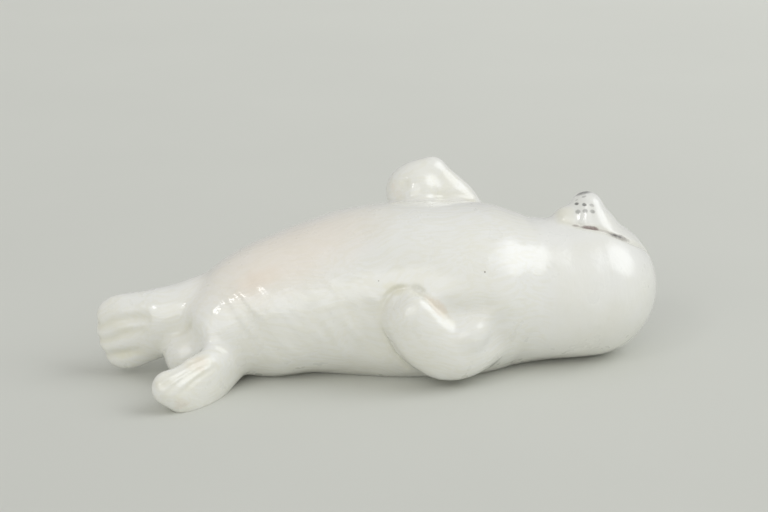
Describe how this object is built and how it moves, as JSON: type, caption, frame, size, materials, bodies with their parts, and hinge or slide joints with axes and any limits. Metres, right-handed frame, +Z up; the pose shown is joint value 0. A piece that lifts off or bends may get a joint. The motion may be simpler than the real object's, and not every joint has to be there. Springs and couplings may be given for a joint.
{
  "type": "animal figurine",
  "caption": "Hollow glazed figurine of a seal pup lying on its back with its muzzle to the sky and one front flipper raised.",
  "frame": {"origin": "on the ground flat that the back rests on, under the middle of the trunk", "axes": "+X towards the head, along the body; +Z up out of the surface it lies on, towards the belly; +Y towards the raised front flipper"},
  "size_m": [0.161, 0.0636, 0.0553],
  "materials": {
    "glazed_porcelain": "glossy clear glaze over white porcelain"
  },
  "bodies": {
    "root": {"seal": "glazed_porcelain"}
  },
  "joints": []
}
